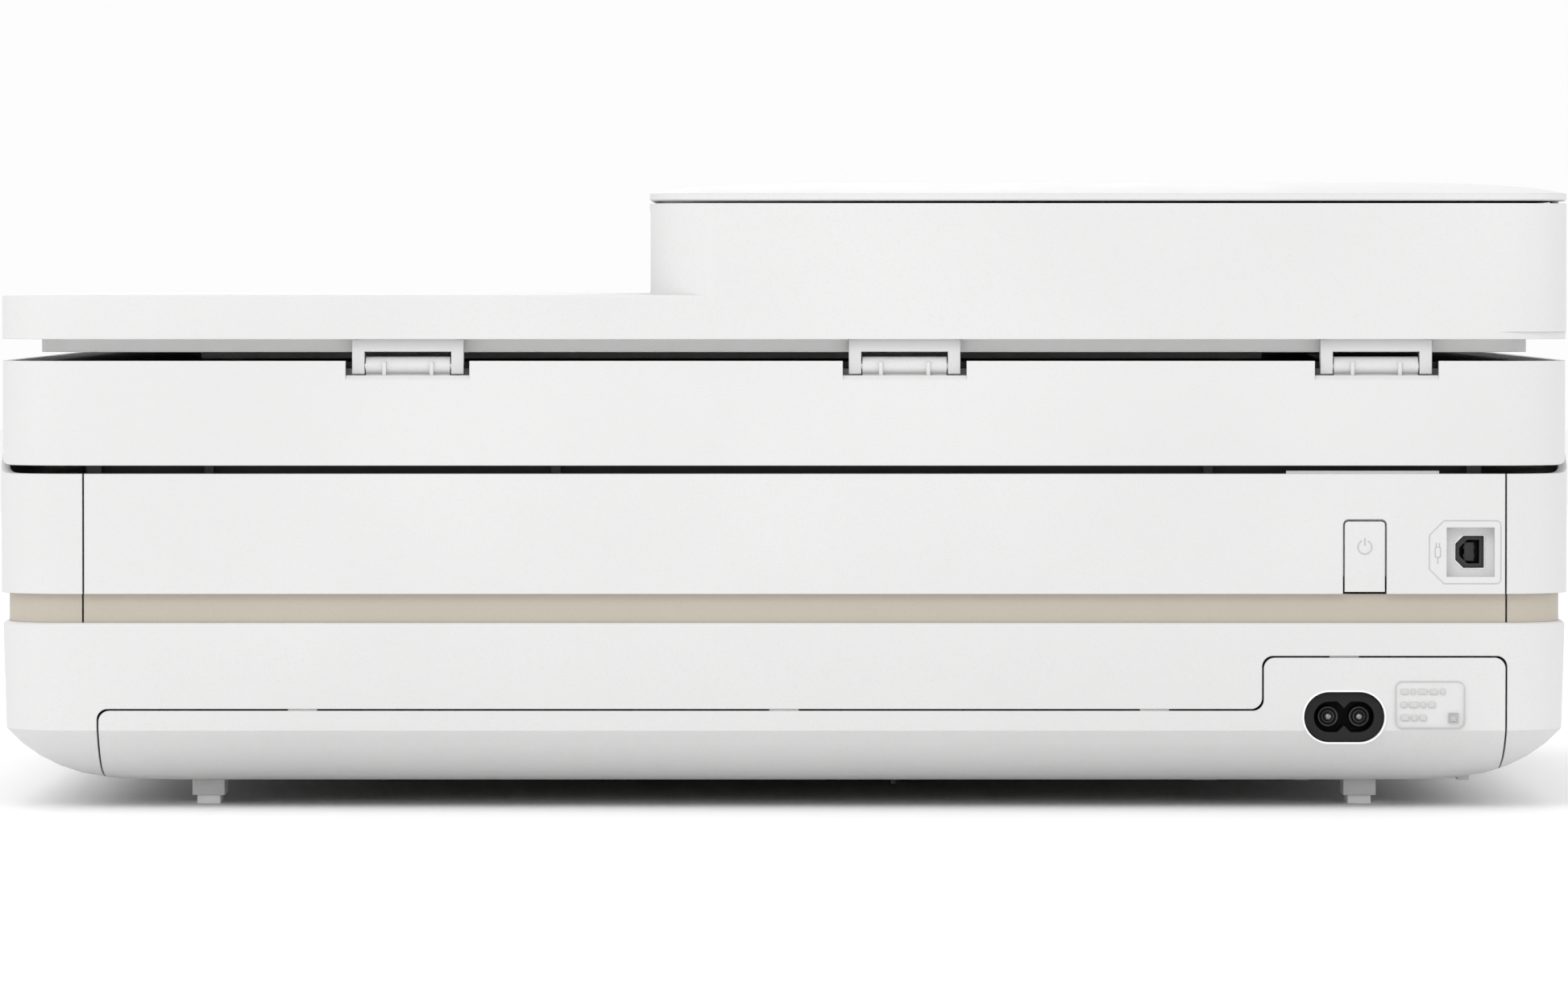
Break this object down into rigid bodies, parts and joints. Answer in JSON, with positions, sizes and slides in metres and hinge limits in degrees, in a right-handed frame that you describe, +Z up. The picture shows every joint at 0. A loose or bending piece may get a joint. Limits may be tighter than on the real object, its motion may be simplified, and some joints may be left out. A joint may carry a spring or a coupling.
{
  "type": "inkjet printer",
  "caption": "Desktop inkjet printer with flatbed scanner, document feeder, paper drawer, hinged scanner unit, sliding ink carriage and geared paper drive.",
  "frame": {"origin": "centre of the body's footprint, on the desk surface that the feet stand on", "axes": "+X to the right seen from the front, +Y to the rear panel with the sockets, +Z up"},
  "size_m": [0.4326, 0.361, 0.173],
  "materials": {
    "white_shell": "fine spark texture, satin",
    "band_taupe": "fine spark texture",
    "black_frame": "matte",
    "black_gloss": "polished",
    "dark_grey": "matte",
    "mid_grey": "satin",
    "light_grey": "satin",
    "rubber": "matte",
    "steel": "zinc plated",
    "bright_steel": "ground",
    "gear_plastic": "natural acetal",
    "brass": "turned",
    "circuit_board": "solder mask",
    "glass": "polished",
    "foam": "closed-cell foam under white film"
  },
  "bodies": {
    "base": {"base_bowl": "white_shell", "foot_pads": "rubber", "rear_panel": "white_shell", "trim_band": "band_taupe", "rear_trim": "band_taupe", "deck_shell": "white_shell", "rear_cover": "white_shell", "inner_frame": "black_frame", "control_panel": "black_gloss", "main_chassis": "dark_grey", "paper_path_guide": "black_frame", "carriage_rail": "steel", "carriage_rod": "bright_steel", "carriage_belt": "rubber", "drive_motors": "steel", "platen": "black_frame", "service_station": "dark_grey", "main_board": "circuit_board", "usb_socket": "steel", "power_supply": "dark_grey", "power_inlet": "black_frame", "inlet_pins": "bright_steel", "output_tray": "mid_grey"},
    "power_button": {"power_button": "white_shell"},
    "feed_roller": {"feed_roller": "dark_grey"},
    "idler_gear": {"idler_gear": "gear_plastic"},
    "exit_roller": {"exit_roller": "dark_grey"},
    "motor_pinion": {"motor_pinion": "brass"},
    "pinch_rollers": {"pinch_rollers": "rubber"},
    "pick_arm": {"pick_arm": "dark_grey"},
    "pick_roller": {"pick_roller": "rubber"},
    "carriage": {"ink_carriage": "black_frame", "ink_cartridges": "black_gloss"},
    "drive_pulley": {"drive_pulley": "gear_plastic"},
    "idler_pulley": {"idler_pulley": "gear_plastic"},
    "paper_tray": {"paper_tray": "white_shell"},
    "tray_guide_left": {"tray_guide_left": "light_grey"},
    "tray_guide_right": {"tray_guide_right": "light_grey"},
    "tray_pinion": {"tray_pinion": "gear_plastic"},
    "output_extender": {"output_extender": "mid_grey"},
    "extender_stop": {"extender_stop": "mid_grey"},
    "scanner": {"scanner_housing": "white_shell", "scanner_bezel": "black_frame", "scanner_glass": "glass", "hinge_pins": "bright_steel"},
    "scan_bar": {"scan_bar": "black_frame"},
    "lid": {"lid_shell": "white_shell", "lid_liner": "white_shell", "lid_pad": "foam", "lid_hinge_arms": "white_shell", "adf_tray": "light_grey", "adf_frame": "dark_grey", "adf_belt": "rubber"},
    "adf_guide_front": {"adf_guide_front": "mid_grey"},
    "adf_guide_rear": {"adf_guide_rear": "mid_grey"},
    "adf_guide_pinion": {"adf_guide_pinion": "gear_plastic"},
    "adf_feed_roller": {"adf_feed_roller": "dark_grey"},
    "adf_drive_pinion": {"adf_drive_pinion": "brass"},
    "adf_pick_roller": {"adf_pick_roller": "rubber"},
    "adf_cover": {"adf_cover": "white_shell"}
  },
  "joints": [
    {"name": "scanner_lift", "type": "hinge", "parent": "base", "child": "scanner", "pos_m": [0, 0.1745, 0.09845], "axis": [-1, 0, 0], "range_deg": [0, 18]},
    {"name": "lid_open", "type": "hinge", "parent": "scanner", "child": "lid", "pos_m": [0, 0.174, 0.122], "axis": [-1, 0, 0], "range_deg": [0, 72]},
    {"name": "feeder_cover_open", "type": "hinge", "parent": "lid", "child": "adf_cover", "pos_m": [-0.2145, 0.04915, 0.1689], "axis": [0, -1, 0], "range_deg": [0, 80]},
    {"name": "paper_tray_slide", "type": "slide", "parent": "base", "child": "paper_tray", "axis": [0, -1, 0], "range_m": [0, 0.17]},
    {"name": "tray_guide_right_slide", "type": "slide", "parent": "paper_tray", "child": "tray_guide_right", "axis": [-1, 0, 0], "range_m": [0, 0.057]},
    {"name": "tray_guide_left_slide", "type": "slide", "parent": "paper_tray", "child": "tray_guide_left", "axis": [1, 0, 0], "range_m": [0, 0.057]},
    {"name": "tray_pinion_spin", "type": "hinge", "parent": "paper_tray", "child": "tray_pinion", "pos_m": [0, -0.072, 0.0124], "axis": [0, 0, 1], "range_deg": [-480, 480]},
    {"name": "output_extender_slide", "type": "slide", "parent": "base", "child": "output_extender", "axis": [0, -1, 0], "range_m": [0, 0.11]},
    {"name": "extender_stop_flip", "type": "hinge", "parent": "output_extender", "child": "extender_stop", "pos_m": [0, -0.1745, 0.0418], "axis": [1, 0, 0], "range_deg": [0, 85]},
    {"name": "power_button_press", "type": "slide", "parent": "base", "child": "power_button", "axis": [0, -1, 0], "range_m": [0, 0.0012], "stiffness_N_per_m": 800},
    {"name": "feed_spin", "type": "hinge", "parent": "base", "child": "feed_roller", "pos_m": [0, 0.062, 0.042], "axis": [1, 0, 0], "continuous": true},
    {"name": "idler_spin", "type": "hinge", "parent": "base", "child": "idler_gear", "pos_m": [-0.17, 0.04, 0.042], "axis": [1, 0, 0], "continuous": true},
    {"name": "exit_spin", "type": "hinge", "parent": "base", "child": "exit_roller", "pos_m": [0, 0.018, 0.042], "axis": [1, 0, 0], "continuous": true},
    {"name": "motor_pinion_spin", "type": "hinge", "parent": "base", "child": "motor_pinion", "pos_m": [-0.17, 0.08, 0.042], "axis": [1, 0, 0], "continuous": true},
    {"name": "pinch_spin", "type": "hinge", "parent": "base", "child": "pinch_rollers", "pos_m": [0, 0.062, 0.05015], "axis": [1, 0, 0], "continuous": true},
    {"name": "pick_arm_lift", "type": "hinge", "parent": "base", "child": "pick_arm", "pos_m": [0, 0.074, 0.031], "axis": [1, 0, 0], "range_deg": [0, 15]},
    {"name": "pick_roller_spin", "type": "hinge", "parent": "pick_arm", "child": "pick_roller", "pos_m": [0, 0.101, 0.0256], "axis": [1, 0, 0], "continuous": true},
    {"name": "carriage_slide", "type": "slide", "parent": "base", "child": "carriage", "axis": [-1, 0, 0], "range_m": [0, 0.282]},
    {"name": "drive_pulley_spin", "type": "hinge", "parent": "base", "child": "drive_pulley", "pos_m": [-0.178, 0.09, 0.084], "axis": [0, 1, 0], "range_deg": [-2700, 2700]},
    {"name": "idler_pulley_spin", "type": "hinge", "parent": "base", "child": "idler_pulley", "pos_m": [0.178, 0.09, 0.084], "axis": [0, 1, 0], "range_deg": [-2700, 2700]},
    {"name": "scan_bar_slide", "type": "slide", "parent": "scanner", "child": "scan_bar", "axis": [1, 0, 0], "range_m": [0, 0.307]},
    {"name": "adf_guide_rear_slide", "type": "slide", "parent": "lid", "child": "adf_guide_rear", "axis": [0, -1, 0], "range_m": [0, 0.048]},
    {"name": "adf_guide_front_slide", "type": "slide", "parent": "lid", "child": "adf_guide_front", "axis": [0, 1, 0], "range_m": [0, 0.048]},
    {"name": "adf_guide_pinion_spin", "type": "hinge", "parent": "lid", "child": "adf_guide_pinion", "pos_m": [-0.029, 0.04915, 0.1496], "axis": [0, 0, 1], "range_deg": [-600, 600]},
    {"name": "adf_feed_spin", "type": "hinge", "parent": "lid", "child": "adf_feed_roller", "pos_m": [-0.1749, 0.04915, 0.1494], "axis": [0, 1, 0], "continuous": true},
    {"name": "adf_drive_spin", "type": "hinge", "parent": "lid", "child": "adf_drive_pinion", "pos_m": [-0.1641, 0.04915, 0.1494], "axis": [0, 1, 0], "continuous": true},
    {"name": "adf_pick_spin", "type": "hinge", "parent": "lid", "child": "adf_pick_roller", "pos_m": [-0.1239, 0.04915, 0.1595], "axis": [0, 1, 0], "continuous": true}
  ],
  "couplings": [
    {"joint": "tray_guide_left_slide", "follows": "tray_guide_right_slide", "ratio": 1},
    {"joint": "tray_pinion_spin", "follows": "tray_guide_right_slide", "rad_per_m": -142.86},
    {"joint": "idler_spin", "follows": "feed_spin", "ratio": -1.2},
    {"joint": "exit_spin", "follows": "feed_spin", "ratio": 1},
    {"joint": "motor_pinion_spin", "follows": "feed_spin", "ratio": -2},
    {"joint": "pinch_spin", "follows": "feed_spin", "ratio": -1.6667},
    {"joint": "drive_pulley_spin", "follows": "carriage_slide", "rad_per_m": 166.67},
    {"joint": "idler_pulley_spin", "follows": "carriage_slide", "rad_per_m": 166.67},
    {"joint": "adf_guide_front_slide", "follows": "adf_guide_rear_slide", "ratio": 1},
    {"joint": "adf_guide_pinion_spin", "follows": "adf_guide_rear_slide", "rad_per_m": -208.33},
    {"joint": "adf_drive_spin", "follows": "adf_feed_spin", "ratio": -1.4545},
    {"joint": "adf_pick_spin", "follows": "adf_feed_spin", "ratio": 1}
  ]
}
